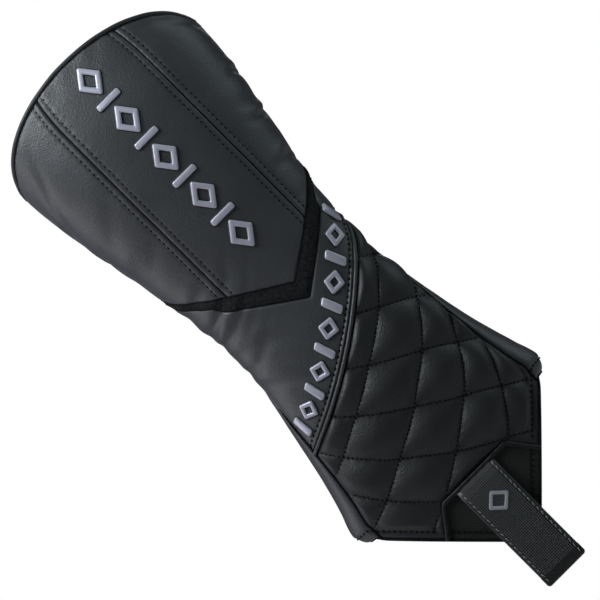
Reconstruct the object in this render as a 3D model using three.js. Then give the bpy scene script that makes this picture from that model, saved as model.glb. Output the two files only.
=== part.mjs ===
// Padded headcover for a fairway wood. A sleeve of sewn panels is closed by an arched crown cap,
// narrows to an elastic neck and flares to a quilted skirt with a V-shaped hem and a pull tab.
// Millimetres, +Z towards the crown, the front faces -Y, +X is the right of someone facing it.
// The origin is in the mouth, 3 mm below the tip of the V, where the club's shaft comes in.
import * as THREE from "three";

// Sleeve: height, half width and half depth, from below the tip of the hem to above the crown.
const SLEEVE = [
  [-20, 60, 15],
  [56, 60, 19.2],
  [60, 60.4, 19.6],
  [64, 63.2, 20],
  [69, 65.3, 20.4],
  [74, 64.4, 20.8],
  [82, 61.6, 21.3],
  [105, 55.2, 22.8],
  [130, 50, 23.8],
  [153, 45.8, 24.2],
  [178, 44.5, 24.5],
  [202, 46.4, 26.5],
  [226, 50.6, 29.5],
  [250, 55, 32.5],
  [275, 59.3, 34.5],
  [300, 62, 35],
  [322, 61.5, 32],
  [342, 58.5, 27],
];
const SECTION_POWER = 2.3; // squareness of the cross-section, 2 for an ellipse

// Crown rim, an arch over the front and the back, and how far the cap domes above it.
const RIM_HEIGHT = 304.5;
const RIM_RISE = 33.9;
const RIM_HALF_WIDTH = 62.3;
const CAP_DOME = 2.2;

// Layers, measured inwards from the outer surface.
const LEATHER = 1.2;
const PADDING = [1.9, 4.7];
const LINING = [5.6, 8.2];
const ELASTIC = [2, 4];
const SEAM_GAP = 0.4;

// Front seams. Their common centreline lies a little right of the tip of the hem.
const CENTRE_X = 3;
const CENTRE_PANEL_HALF = 28;
const SEAM_BEND = [312, 0.004]; // height above which the two seams lean together, and how fast
const CHEVRON_TIP = 181.1; // upper edge of the chevron at its tip
const CHEVRON_SHIFT = 1.5; // from the middle of the centre panel to the tip
const CHEVRON_SLOPE = { left: 0.61, right: 0.69 };
const CHEVRON_WIDTH = 10.4; // at the tip
const CHEVRON_TAPER = { left: 0.07, right: 0.045 }; // width lost per mm from the tip
const CHEVRON_END_WIDTH = { left: 4.6, right: 5.6 };
const CHEVRON_STEP = 38.5; // half width of the wide middle part
const DIAGONAL = [142.1, 0.7, 0.0032]; // height, slope and bend of the seam above the quilting
const BACK_SEAM = 215.5; // waist seam across the back

// Side seams below the neck: height and turn from the front centre in degrees.
const SIDE_SEAM = [
  [60, 66],
  [64, 60],
  [69, 57],
  [82, 58],
  [100, 62],
  [120, 68],
  [140, 76],
  [158, 86],
  [175, 90],
  [341, 90],
];

// Hem: a V in front with 45 degree sides and a shallower V behind, both level at the sides.
const HEM_TIP = 3;
const HEM_SIDE = 61;
const BACK_HEM_TIP = 36;

// Notch above the tip, filled by the woven patch.
const NOTCH_TOP = 50.5;
const NOTCH_TOP_HALF = 21.5;
const NOTCH_HALF = 34;

// Piping and cord radii.
const WELT_R = 1.4;
const DIAGONAL_R = 1.2;
const BINDING_R = 1.2;
const HEM_CORD_R = 0.9;

// Neck elastic.
const ELASTIC_BAND = [168, 190];

// Pull tab, hanging from its sewn root.
const TAB_X = -0.5;
const TAB_WIDTH = 25.5;
const TAB_TOP = 48.8;
const TAB_BOTTOM = -16;
const TAB_THICK = 1.4;
const TAB_FOLD = 6; // length of the folded far end
const TAB_FOLD_THICK = 2.4;
const RIBBON_WIDTH = 20.5;
const RIBBON_THICK = 0.6;
const TAB_PLANE = 3.4; // distance of the strap's middle in front of the skirt at the root

// Raised motifs: hollow diamonds and bars.
const MOTIF_THICK = 1.1;
const MOTIF_LIFT = 0.5;
const EMBLEM = { low: 207.5, width: 14.5, diamond: 19, bar: 3.5, gap: 2, stroke: 2.9, count: 5 };
const ROW = { start: -46, height: 11, diamond: 12, bar: 4.4, gap: 2.8, stroke: 2.3, count: 5 };
const ROW_ABOVE_SEAM = 10.5;

const DEG = Math.PI / 180;
const RIGHT = 90 * DEG;

// Smooth curve through the stations of a table, for one of its columns.
function along(table, height, column) {
  const last = table.length - 1;
  let i = 0;
  while (i < last - 1 && table[i + 1][0] < height) i++;
  const slope = (k) => {
    const lo = table[Math.max(0, k - 1)];
    const hi = table[Math.min(last, k + 1)];
    return (hi[column] - lo[column]) / (hi[0] - lo[0]);
  };
  const [p, q] = [table[i], table[i + 1]];
  const h = q[0] - p[0];
  const t = THREE.MathUtils.clamp((height - p[0]) / h, 0, 1);
  const rise = (1 + 2 * t) * (1 - t) ** 2 * p[column] + t * t * (3 - 2 * t) * q[column];
  return rise + h * t * (1 - t) ** 2 * slope(i) + h * t * t * (t - 1) * slope(i + 1);
}

const power = (v) => Math.sign(v) * Math.abs(v) ** (2 / SECTION_POWER);

// Point of the outer surface, by the turn from the front centre and the height.
function onSleeve(turn, z) {
  const a = along(SLEEVE, z, 1);
  const b = along(SLEEVE, z, 2);
  return new THREE.Vector3(a * power(Math.sin(turn)), -b * power(Math.cos(turn)), z);
}

function outward(turn, z) {
  const across = onSleeve(turn + 0.01, z).sub(onSleeve(turn - 0.01, z));
  const up = onSleeve(turn, z + 0.5).sub(onSleeve(turn, z - 0.5));
  return across.cross(up).normalize();
}

const skin = (turn, z, depth) => onSleeve(turn, z).addScaledVector(outward(turn, z), -depth);

// Turn of the front point with a given x.
function turnAt(x, z) {
  const share = THREE.MathUtils.clamp(Math.abs(x) / along(SLEEVE, z, 1), 0, 1);
  return Math.sign(x) * Math.asin(share ** (SECTION_POWER / 2));
}

// Length along the surface from the seam centreline to a turn.
function arc(turn, z) {
  const from = turnAt(CENTRE_X, z);
  const steps = 16;
  let length = 0;
  for (let i = 0; i < steps; i++) {
    const lo = onSleeve(from + ((turn - from) * i) / steps, z);
    const hi = onSleeve(from + ((turn - from) * (i + 1)) / steps, z);
    length += lo.distanceTo(hi);
  }
  return Math.sign(turn - from) * length;
}

// Inverse of arc: the turn at a length along the surface.
function turnAtArc(length, z) {
  let lo = -Math.PI;
  let hi = Math.PI;
  for (let i = 0; i < 30; i++) {
    const mid = (lo + hi) / 2;
    if (arc(mid, z) < length) lo = mid;
    else hi = mid;
  }
  return (lo + hi) / 2;
}

// Curves across the sleeve: the height where each one meets a turn at a trial height.
const rim = (turn, z) => {
  const share = Math.min(1, Math.abs(onSleeve(turn, z).x) / RIM_HALF_WIDTH);
  return RIM_HEIGHT + RIM_RISE * Math.sqrt(1 - share ** 2);
};
const chevronTop = (turn, z) => {
  const s = arc(turn, z) - CHEVRON_SHIFT;
  return CHEVRON_TIP + Math.abs(s) * (s < 0 ? CHEVRON_SLOPE.left : CHEVRON_SLOPE.right);
};
const chevronBottom = (turn, z) => {
  const s = arc(turn, z) - CHEVRON_SHIFT;
  const side = s < 0 ? "left" : "right";
  const wide = CHEVRON_WIDTH - CHEVRON_TAPER[side] * Math.abs(s);
  return chevronTop(turn, z) - (Math.abs(s) < CHEVRON_STEP ? wide : CHEVRON_END_WIDTH[side]);
};
const diagonal = (turn, z) => {
  const s = arc(turn, z);
  return DIAGONAL[0] + DIAGONAL[1] * s + DIAGONAL[2] * s * s;
};
const frontHem = (turn, z) => Math.min(HEM_SIDE, HEM_TIP + Math.abs(onSleeve(turn, z).x));
const backHem = (turn, z) => {
  const share = Math.abs(onSleeve(turn, z).x) / along(SLEEVE, z, 1);
  return BACK_HEM_TIP + (HEM_SIDE - BACK_HEM_TIP) * share;
};
const hem = (turn, z) => (Math.cos(turn) >= 0 ? frontHem(turn, z) : backHem(turn, z));
const notch = (turn, z) => {
  const x = Math.abs(onSleeve(turn, z).x);
  const side = (x - NOTCH_TOP_HALF) / (NOTCH_HALF - NOTCH_TOP_HALF);
  const down = Math.max(0, side) * (NOTCH_TOP - NOTCH_HALF);
  return Math.max(NOTCH_TOP - down, frontHem(turn, z));
};
const level = (height) => () => height;
const shifted = (curve, by) => (turn, z) => curve(turn, z) + by;

// Point where a column (turn as a function of height) crosses a curve.
function crossing(column, curve, start) {
  let z = start;
  for (let i = 0; i < 12; i++) z = curve(column(z), z);
  return z;
}

// Closed slab between two grids of points of the same size.
function slab(outer, inner) {
  const rows = outer.length;
  const cols = outer[0].length;
  const position = [...outer.flat(), ...inner.flat()].flatMap((p) => p.toArray());
  const index = [];
  const at = (side, r, c) => side * rows * cols + r * cols + c;
  const quad = (a, b, c, d) => index.push(a, b, c, a, c, d);
  for (let r = 0; r < rows - 1; r++) {
    for (let c = 0; c < cols - 1; c++) {
      quad(at(0, r, c), at(0, r, c + 1), at(0, r + 1, c + 1), at(0, r + 1, c));
      quad(at(1, r, c), at(1, r + 1, c), at(1, r + 1, c + 1), at(1, r, c + 1));
    }
    quad(at(0, r, 0), at(0, r + 1, 0), at(1, r + 1, 0), at(1, r, 0));
    quad(at(0, r + 1, cols - 1), at(0, r, cols - 1), at(1, r, cols - 1), at(1, r + 1, cols - 1));
  }
  for (let c = 0; c < cols - 1; c++) {
    quad(at(0, 0, c + 1), at(0, 0, c), at(1, 0, c), at(1, 0, c + 1));
    quad(at(0, rows - 1, c), at(0, rows - 1, c + 1), at(1, rows - 1, c + 1), at(1, rows - 1, c));
  }
  return geometry(position, index);
}

function geometry(position, index) {
  const made = new THREE.BufferGeometry();
  made.setAttribute("position", new THREE.Float32BufferAttribute(position, 3));
  made.setIndex(index);
  return made;
}

// Panel of the sleeve between two curves, with its edges on the first and the last column.
// crowd above 1 draws the rows together at the bottom.
function panel(columns, bottom, top, rows, [out, inn], crowd = 1) {
  const ends = columns.map((column) => [
    crossing(column, bottom, 150),
    crossing(column, top, 200),
  ]);
  const layer = (depth) =>
    Array.from({ length: rows + 1 }, (_, r) =>
      columns.map((column, c) => {
        const z = THREE.MathUtils.lerp(ends[c][0], ends[c][1], (r / rows) ** crowd);
        return skin(column(z), z, depth);
      }),
    );
  return slab(layer(out), layer(inn));
}

// Columns of a panel: evenly spaced turns between two columns.
function spread(from, to, count) {
  return Array.from({ length: count + 1 }, (_, i) => (z) =>
    THREE.MathUtils.lerp(from(z), to(z), i / count),
  );
}
const turned = (degrees) => () => degrees * DEG;

// Columns over half a turn about the front (0) or the back (180), closer together at the sides.
const halfTurn = (middle) =>
  Array.from({ length: 15 }, (_, i) => {
    const u = i / 7 - 1;
    return turned(middle + 44.5 * (u + Math.sin((u * Math.PI) / 2)));
  });
const atX = (x) => (z) => turnAt(x, z);
const atArc = (s) => (z) => turnAtArc(s, z);
const centreSeam = (side) => (z) => {
  const lean = SEAM_BEND[1] * Math.max(0, z - SEAM_BEND[0]) ** 2;
  return turnAt(CENTRE_X + side * (CENTRE_PANEL_HALF - lean), z);
};
const sideSeam = (side, gap) => (z) =>
  side * along(SIDE_SEAM, z, 1) * DEG + (side * gap) / along(SLEEVE, z, 2);

// Point of the crown cap: turn along the arch, share of the way from the front rim to the back.
function onCap(turn, share) {
  const z = crossing(turned(turn), rim, 320);
  const edge = onSleeve(turn * DEG, z);
  const lift = CAP_DOME * (1 - share ** 2) * Math.cos(turn * DEG) ** 0.5;
  const slope = new THREE.Vector3(edge.x / RIM_HALF_WIDTH ** 2, 0, (z - RIM_HEIGHT) / RIM_RISE ** 2);
  const middle = new THREE.Vector3(edge.x, -edge.y * share, z);
  return middle.addScaledVector(slope.normalize(), lift);
}

// Slab that follows the cap, kept clear of the rim by a margin.
function capLayer(reach, count, margin, [out, inn]) {
  const layer = (depth) =>
    Array.from({ length: 5 }, (_, r) =>
      Array.from({ length: count + 1 }, (_, c) => {
        const turn = -reach + (2 * reach * c) / count;
        const half = Math.abs(onSleeve(turn * DEG, crossing(turned(turn), rim, 320)).y);
        const share = (r / 2 - 1) * (1 - margin / half);
        const across = onCap(turn + 0.5, share).sub(onCap(turn - 0.5, share));
        const back = onCap(turn, share + 0.02).sub(onCap(turn, share - 0.02));
        return onCap(turn, share).addScaledVector(across.cross(back).normalize(), -depth);
      }),
    );
  return slab(layer(out), layer(inn));
}

// Round cord along points of the sleeve, each given as a turn and a height.
function cord(path, radius, lift, closed, sides = 6) {
  const centre = path.map(([turn, z]) => skin(turn, z, -lift));
  const n = path.length;
  const position = [];
  const index = [];
  centre.forEach((p, i) => {
    const before = centre[closed ? (i + n - 1) % n : Math.max(0, i - 1)];
    const after = centre[closed ? (i + 1) % n : Math.min(n - 1, i + 1)];
    const forward = after.clone().sub(before).normalize();
    const up = outward(...path[i]);
    up.addScaledVector(forward, -up.dot(forward)).normalize();
    const side = forward.clone().cross(up);
    for (let k = 0; k < sides; k++) {
      const angle = (2 * Math.PI * k) / sides;
      const ring = p.clone().addScaledVector(up, radius * Math.cos(angle));
      position.push(...ring.addScaledVector(side, radius * Math.sin(angle)).toArray());
    }
  });
  const rings = closed ? n : n - 1;
  for (let i = 0; i < rings; i++)
    for (let k = 0; k < sides; k++) {
      const [a, b] = [i * sides + k, i * sides + ((k + 1) % sides)];
      const [c, d] = [((i + 1) % n) * sides + k, ((i + 1) % n) * sides + ((k + 1) % sides)];
      index.push(a, b, c, b, d, c);
    }
  if (!closed)
    for (let k = 1; k < sides - 1; k++) {
      index.push(0, k + 1, k);
      const end = (n - 1) * sides;
      index.push(end, end + k, end + k + 1);
    }
  return geometry(position, index);
}

// Path along a curve of the sleeve, as turns and heights.
const follow = (columns, curve) =>
  columns.map((column) => {
    const z = crossing(column, curve, 150);
    return [column(z), z];
  });

// Raised shape on the leather: an outline of [sideways, upwards] offsets, with or without a hole.
function applique(place, outline, hole = []) {
  const flat = (loop) => loop.map(([u, v]) => new THREE.Vector2(u, v));
  const faces = THREE.ShapeUtils.triangulateShape(flat(outline), hole.length ? [flat(hole)] : []);
  const points = [...outline, ...hole];
  const layer = (lift) => points.flatMap(([u, v]) => place(u, v, lift).toArray());
  const position = [...layer(MOTIF_LIFT + MOTIF_THICK), ...layer(MOTIF_LIFT)];
  const n = points.length;
  const index = faces.flatMap(([a, b, c]) => [a, b, c, n + a, n + c, n + b]);
  const wall = (from, count) => {
    for (let i = 0; i < count; i++) {
      const [a, b] = [from + i, from + ((i + 1) % count)];
      index.push(a, n + a, n + b, a, n + b, b);
    }
  };
  wall(0, outline.length);
  wall(outline.length, hole.length);
  return geometry(position, index);
}

// Outlines of the motifs, anticlockwise; the hole of the diamond is given the other way round.
const diamondLoop = (w, h) => [[-w / 2, 0], [0, -h / 2], [w / 2, 0], [0, h / 2]];
const barLoop = (w, h, lean) => [
  [-w / 2 - lean, -h / 2],
  [w / 2 - lean, -h / 2],
  [w / 2 + lean, h / 2],
  [-w / 2 + lean, h / 2],
];

// Inner loop of a hollow diamond with a stroke of one width all round.
function innerDiamond(w, h, stroke) {
  const shrink = 1 - (2 * stroke * Math.hypot(w, h)) / (w * h);
  return diamondLoop(w * shrink, h * shrink);
}

const group = new THREE.Group();
const LOOKS = {
  leather: [0x26262a, 0.45],
  quilted: [0x1f2023, 0.45],
  felt: [0x101010, 0.95],
  piping: [0x151517, 0.5],
  woven: [0x18181a, 0.85],
  thread: [0x0c0c0c, 0.8],
  silver: [0xb5b2c4, 0.35],
  foam: [0x8c8c88, 0.95],
  fleece: [0x3a3a3c, 1],
  elastic: [0x202020, 0.8],
};

function add(name, look, made) {
  const [color, roughness] = LOOKS[look];
  const mesh = new THREE.Mesh(made, new THREE.MeshStandardMaterial({ color, roughness }));
  mesh.name = name;
  group.add(mesh);
}

const half = SEAM_GAP / 2;
const skinLayer = [0, LEATHER];
const leftEdge = centreSeam(-1);
const rightEdge = centreSeam(1);
const inset = (column, side) => (z) => column(z) + (side * half) / along(SLEEVE, z, 1);
const rimEdge = shifted(rim, -WELT_R - 0.8);
const chevronEdge = shifted(chevronTop, half);
const chevronTip = atX(CENTRE_X + CHEVRON_SHIFT);

// Upper body.
add("front_left_panel", "leather",
  panel(spread(sideSeam(-1, -half), inset(leftEdge, -1), 6), chevronEdge, rimEdge, 8, skinLayer));
add("front_centre_panel", "leather",
  panel([
    ...spread(inset(leftEdge, 1), chevronTip, 3),
    ...spread(chevronTip, inset(rightEdge, -1), 3).slice(1),
  ], chevronEdge, rimEdge, 9, skinLayer));
add("front_right_panel", "leather",
  panel(spread(inset(rightEdge, 1), sideSeam(1, -half), 6), chevronEdge, rimEdge, 8, skinLayer));
add("back_upper_panel", "leather",
  panel(halfTurn(180), level(BACK_SEAM + half), rimEdge, 7, skinLayer));
add("crown_cap", "leather", capLayer(80, 16, WELT_R + 1, skinLayer));
add("crown_welt", "piping",
  cord(follow(spread(turned(-90), turned(270), 48).slice(0, -1), rim), WELT_R, 0.1, true));

// Waist and skirt.
const stepAt = (side, more) => atArc(CHEVRON_SHIFT + side * (CHEVRON_STEP + more));
const chevronColumns = [
  ...spread(sideSeam(-1, -half), stepAt(-1, 0.3), 3),
  ...spread(stepAt(-1, -0.3), chevronTip, 4),
  ...spread(chevronTip, stepAt(1, -0.3), 4).slice(1),
  ...spread(stepAt(1, 0.3), sideSeam(1, -half), 3),
];
add("chevron_trim", "felt",
  panel(chevronColumns, shifted(chevronBottom, half), shifted(chevronTop, -half), 1, skinLayer));
add("yoke_panel", "leather",
  panel(chevronColumns, shifted(diagonal, DIAGONAL_R + 0.7), shifted(chevronBottom, -half), 4,
    skinLayer));
const quiltColumns = [
  ...spread(sideSeam(-1, -half), atX(-NOTCH_HALF), 3),
  ...spread(atX(-NOTCH_HALF), atX(-NOTCH_TOP_HALF), 1).slice(1),
  ...spread(atX(-NOTCH_TOP_HALF), atX(NOTCH_TOP_HALF), 4).slice(1),
  ...spread(atX(NOTCH_TOP_HALF), atX(NOTCH_HALF), 1).slice(1),
  ...spread(atX(NOTCH_HALF), sideSeam(1, -half), 3).slice(1),
];
add("quilted_skirt_panel", "quilted",
  panel(quiltColumns, shifted(notch, BINDING_R + 1.2), shifted(diagonal, -DIAGONAL_R - 0.7), 11,
    skinLayer, 1.4));
add("diagonal_piping", "piping",
  cord(follow(spread(sideSeam(-1, -1), sideSeam(1, -1), 16), diagonal), DIAGONAL_R, 0, false));
add("back_lower_panel", "leather",
  panel([...spread(sideSeam(1, half), turned(91), 6).slice(0, -1), ...halfTurn(180),
    ...spread(turned(269), (z) => 2 * Math.PI + sideSeam(-1, half)(z), 6).slice(1)],
  shifted(hem, HEM_CORD_R + 0.9), level(BACK_SEAM - half), 14, skinLayer, 1.4));
add("tip_patch", "woven",
  panel([...spread(atX(-NOTCH_HALF + 3), atX(-NOTCH_TOP_HALF), 1).slice(0, -1),
    ...spread(atX(-NOTCH_TOP_HALF), atX(0), 2).slice(0, -1),
    ...spread(atX(0), atX(NOTCH_TOP_HALF), 2).slice(0, -1),
    ...spread(atX(NOTCH_TOP_HALF), atX(NOTCH_HALF - 3), 1)],
  shifted(frontHem, HEM_CORD_R + 0.9), shifted(notch, -BINDING_R - 0.7), 3, skinLayer));
add("notch_binding", "piping",
  cord([-NOTCH_HALF + 3.6, -27, -NOTCH_TOP_HALF, -11, 0, 11, NOTCH_TOP_HALF, 27, NOTCH_HALF - 3.6]
    .map((x) => follow([atX(x)], notch)[0]), BINDING_R, 0.2, false));
const hemColumns = [
  ...spread(turned(-90), atX(0), 12).slice(0, -1),
  ...spread(atX(0), turned(90), 12).slice(0, -1),
  ...spread(turned(90), turned(270), 20).slice(0, -1),
];
add("hem_cord", "thread", cord(follow(hemColumns, hem), HEM_CORD_R, 0, true, 5));

// Padding, elastic and fleece lining, each a front and a back half.
const halfRing = (middle, bottom, top, rows, layer, crowd = 1) =>
  panel(halfTurn(middle), bottom, top, rows, layer, crowd);
const [bandLow, bandHigh] = ELASTIC_BAND;
const padHem = shifted(hem, 7);
const padRim = shifted(rim, -3.5);
add("front_upper_padding", "foam",
  halfRing(0, level(bandHigh + 1), padRim, 7, PADDING));
add("back_upper_padding", "foam",
  halfRing(180, level(bandHigh + 1), padRim, 7, PADDING));
add("front_lower_padding", "foam", halfRing(0, padHem, level(bandLow - 1), 9, PADDING, 1.4));
add("back_lower_padding", "foam", halfRing(180, padHem, level(bandLow - 1), 9, PADDING, 1.4));
add("crown_padding", "foam", capLayer(68, 10, 7, PADDING));
add("neck_elastic_front", "elastic",
  halfRing(0, level(bandLow), level(bandHigh), 2, ELASTIC));
add("neck_elastic_back", "elastic",
  halfRing(180, level(bandLow), level(bandHigh), 2, ELASTIC));
add("front_lining", "fleece",
  halfRing(0, shifted(hem, 9), shifted(rim, -8), 15, LINING, 1.2));
add("back_lining", "fleece",
  halfRing(180, shifted(hem, 9), shifted(rim, -8), 15, LINING, 1.2));
add("crown_lining", "fleece", capLayer(62, 10, 10.5, LINING));

// Emblem: a column of hollow diamonds and bars up the centre panel.
const onFront = (u, v, lift) => skin(turnAt(u, v), v, -lift);
const step = EMBLEM.diamond + EMBLEM.bar + 2 * EMBLEM.gap;
const hollow = (w, h, stroke) => innerDiamond(w, h, stroke).reverse();
for (let i = 0; i < EMBLEM.count; i++) {
  const middle = EMBLEM.low + EMBLEM.diamond / 2 + i * step;
  const place = (height) => (u, v, lift) => onFront(CENTRE_X + u, height + v, lift);
  const { width, diamond, bar, gap, stroke } = EMBLEM;
  add(`emblem_diamond_${i + 1}`, "silver",
    applique(place(middle), diamondLoop(width, diamond), hollow(width, diamond, stroke)));
  if (i < EMBLEM.count - 1)
    add(`emblem_bar_${i + 1}`, "silver",
      applique(place(middle + diamond / 2 + gap + bar / 2), barLoop(width, bar, 0)));
}

// Row of smaller diamonds and leaning bars above the diagonal seam, following it.
function alongSeam(s, v, lift) {
  const rise = DIAGONAL[0] + DIAGONAL[1] * s + DIAGONAL[2] * s * s;
  const lean = Math.atan(DIAGONAL[1] + 2 * DIAGONAL[2] * s);
  const z = rise + v * Math.cos(lean);
  return skin(turnAtArc(s - v * Math.sin(lean), z), z, -lift);
}
let start = ROW.start;
for (let i = 0; i < 2 * ROW.count + 1; i++) {
  const isBar = i % 2 === 0;
  const width = isBar ? ROW.bar : ROW.diamond;
  const middle = start + width / 2;
  const scale = 0.86; // the seam climbs, so a step along it is shorter across
  const place = (u, v, lift) => alongSeam(middle + u * scale, ROW_ABOVE_SEAM + v, lift);
  const outline = isBar ? barLoop(width, ROW.height, 1.6) : diamondLoop(width, ROW.height);
  const hole = isBar ? [] : hollow(width, ROW.height, ROW.stroke);
  add(isBar ? `row_bar_${i / 2 + 1}` : `row_diamond_${(i + 1) / 2}`, "silver",
    applique(place, outline, hole));
  start += (width + ROW.gap) * scale;
}

// Pull tab: a strap with a ribbon on its face and a thicker folded end.
const tabY = onSleeve(0, TAB_TOP).y - TAB_PLANE;

// Block across the tab's width between two heights, from its back to its front.
function tabBlock(width, low, high, back, front) {
  const made = new THREE.BoxGeometry(width, back - front, high - low);
  return made.translate(TAB_X, tabY + (back + front) / 2, (low + high) / 2);
}
const strapFace = -TAB_THICK / 2;
const ribbonFace = strapFace - 0.3 - RIBBON_THICK;
add("tab_strap", "leather",
  tabBlock(TAB_WIDTH, TAB_BOTTOM + TAB_FOLD + 0.3, TAB_TOP, -strapFace, strapFace));
add("tab_end_fold", "leather",
  tabBlock(TAB_WIDTH, TAB_BOTTOM, TAB_BOTTOM + TAB_FOLD, TAB_FOLD_THICK / 2, -TAB_FOLD_THICK / 2));
add("tab_ribbon", "woven",
  tabBlock(RIBBON_WIDTH, TAB_BOTTOM + TAB_FOLD + 0.3, TAB_TOP - 0.5, strapFace - 0.3, ribbonFace));
const markPlace = (u, v, lift) =>
  new THREE.Vector3(TAB_X + u, tabY + ribbonFace - lift + 0.2, TAB_TOP - 16 + v);
add("tab_mark", "silver", applique(markPlace, diamondLoop(14, 13), hollow(14, 13, 1.9)));

export default group;
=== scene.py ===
import math

import bpy
import numpy as np
from mathutils import Matrix, Vector


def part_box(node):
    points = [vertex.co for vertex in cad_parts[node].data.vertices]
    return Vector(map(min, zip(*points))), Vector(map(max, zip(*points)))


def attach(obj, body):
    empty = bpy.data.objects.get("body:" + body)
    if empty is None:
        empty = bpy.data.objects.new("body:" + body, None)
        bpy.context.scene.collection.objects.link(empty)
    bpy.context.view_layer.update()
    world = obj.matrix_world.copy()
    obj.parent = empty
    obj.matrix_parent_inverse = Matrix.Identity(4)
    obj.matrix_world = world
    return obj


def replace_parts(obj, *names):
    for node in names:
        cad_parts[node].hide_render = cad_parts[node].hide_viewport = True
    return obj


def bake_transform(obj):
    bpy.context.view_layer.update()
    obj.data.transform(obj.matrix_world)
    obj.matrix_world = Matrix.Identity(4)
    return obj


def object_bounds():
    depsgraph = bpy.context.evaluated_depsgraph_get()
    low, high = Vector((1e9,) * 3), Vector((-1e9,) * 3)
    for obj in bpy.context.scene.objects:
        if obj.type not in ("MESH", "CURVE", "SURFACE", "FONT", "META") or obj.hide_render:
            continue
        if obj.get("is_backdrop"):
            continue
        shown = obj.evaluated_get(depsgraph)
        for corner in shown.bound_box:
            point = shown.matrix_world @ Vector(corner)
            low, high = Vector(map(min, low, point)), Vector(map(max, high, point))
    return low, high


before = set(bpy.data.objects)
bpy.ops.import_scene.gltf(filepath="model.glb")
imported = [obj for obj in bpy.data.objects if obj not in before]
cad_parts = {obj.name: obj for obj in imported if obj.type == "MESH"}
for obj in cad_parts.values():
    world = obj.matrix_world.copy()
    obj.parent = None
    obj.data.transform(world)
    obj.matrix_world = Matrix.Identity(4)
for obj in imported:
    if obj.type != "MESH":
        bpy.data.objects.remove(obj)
CAD_LOW, CAD_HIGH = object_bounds()
MM = 0.001

# ---------------------------------------------------------------- camera, stage and light

# The cover stands crown up. The camera looks straight at its front, rolled by 45 degrees, so that
# the crown is at the upper left of the view.

def placed(name, data):
    """A new object in the scene."""
    made = bpy.data.objects.new(name, data)
    bpy.context.scene.collection.objects.link(made)
    return made


LENS = 220
FIELD = 0.300  # width of the view at the object, in metres
AIM = Vector((0, -0.012, 0.173))
camera_data = bpy.data.cameras.new("camera")
camera_data.lens = LENS
camera_data.sensor_width = 36
camera = placed("camera", camera_data)
bpy.context.scene.camera = camera
right = Vector((1, 0, -1)).normalized()
up = Vector((1, 0, 1)).normalized()
back = Vector((0, -1, 0))
turn = Matrix((right, up, back)).transposed().to_4x4()
camera.matrix_world = Matrix.Translation(AIM + back * FIELD * LENS / 36) @ turn
camera_data.clip_end = 50


def put(node, **values):
    """Sets a node's inputs by name, with _ for each space."""
    for name, value in values.items():
        node.inputs[name.replace("_", " ")].default_value = value
    return node


class Look:
    """A material in the making: its nodes, with textures in object space."""

    def __init__(self, name, **values):
        self.made = bpy.data.materials.new(name)
        self.made.use_nodes = True
        self.nodes = self.made.node_tree.nodes
        self.shader = put(self.nodes["Principled BSDF"], **values)

    def node(self, kind, **values):
        return put(self.nodes.new("ShaderNode" + kind), **values)

    def link(self, source, target):
        self.made.node_tree.links.new(source, target)

    def texture(self, kind, **values):
        made = self.node("Tex" + kind, **values)
        self.link(self.node("TexCoord").outputs["Object"], made.inputs["Vector"])
        return made

    def colour(self, source, low, high, ends=(0, 1)):
        """Base colour between two colours, by a value."""
        ramp = self.node("ValToRGB")
        for element, place, colour in zip(ramp.color_ramp.elements, ends, (low, high)):
            element.position, element.color = place, (*colour, 1)
        self.link(source, ramp.inputs["Fac"])
        self.link(ramp.outputs["Color"], self.shader.inputs["Base Color"])

    def spread(self, source, low, high, target):
        """A shader input between two numbers, by a value."""
        made = self.node("MapRange", To_Min=low, To_Max=high)
        self.link(source, made.inputs["Value"])
        self.link(made.outputs["Result"], self.shader.inputs[target])

    def bump(self, source, strength, distance):
        made = self.node("Bump", Strength=strength, Distance=distance)
        self.link(source, made.inputs["Height"])
        self.link(made.outputs["Normal"], self.shader.inputs["Normal"])

    def add(self, source, share, other):
        """A share of one value added to another."""
        made = self.node("Math")
        made.operation = "MULTIPLY_ADD"
        made.inputs[1].default_value = share
        self.link(source, made.inputs[0])
        self.link(other, made.inputs[2])
        return made.outputs[0]


def paper(name, colour, glow, seen_glow):
    """Matt paper. It looks brighter than the light that it gives off."""
    look = Look(name, Base_Color=(*colour, 1), Roughness=0.9, Specular_IOR_Level=0.1)
    put(look.shader, Emission_Color=(1, 1, 1, 1))
    look.spread(look.node("LightPath").outputs["Is Camera Ray"], glow, seen_glow, "Emission Strength")
    return look.made


FLOOR_Z = CAD_LOW[2] - 0.35
floor_mesh = bpy.data.meshes.new("floor")
CORNERS = ((-2.5, -2.5), (2.5, -2.5), (2.5, 2.5), (-2.5, 2.5))
floor_mesh.from_pydata([(x, y, FLOOR_Z) for x, y in CORNERS], [], [(0, 1, 2, 3)])
floor_mesh.materials.append(paper("floor_paper", (0.9, 0.9, 0.9), 0.02, 0.75))
placed("floor", floor_mesh)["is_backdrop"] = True

world = bpy.data.worlds.new("studio")
bpy.context.scene.world = world
world.use_nodes = True
nodes, links = world.node_tree.nodes, world.node_tree.links
ambient = put(nodes["Background"], Color=(0.85, 0.97, 1.0, 1), Strength=0.015)
white = put(nodes.new("ShaderNodeBackground"), Color=(1, 1, 1, 1), Strength=1.0)
seen = nodes.new("ShaderNodeLightPath")
mix = nodes.new("ShaderNodeMixShader")
links.new(seen.outputs["Is Camera Ray"], mix.inputs["Fac"])
links.new(ambient.outputs["Background"], mix.inputs[1])
links.new(white.outputs["Background"], mix.inputs[2])
links.new(mix.outputs["Shader"], nodes["World Output"].inputs["Surface"])


def softbox(name, place, power, size, colour):
    data = bpy.data.lights.new(name, "AREA")
    data.shape = "RECTANGLE"
    data.size, data.size_y = size
    data.energy = power
    data.color = colour
    lamp = placed(name, data)
    lamp.location = place
    lamp.rotation_mode = "QUATERNION"
    lamp.rotation_quaternion = (AIM - Vector(place)).to_track_quat("-Z", "Y")


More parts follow.
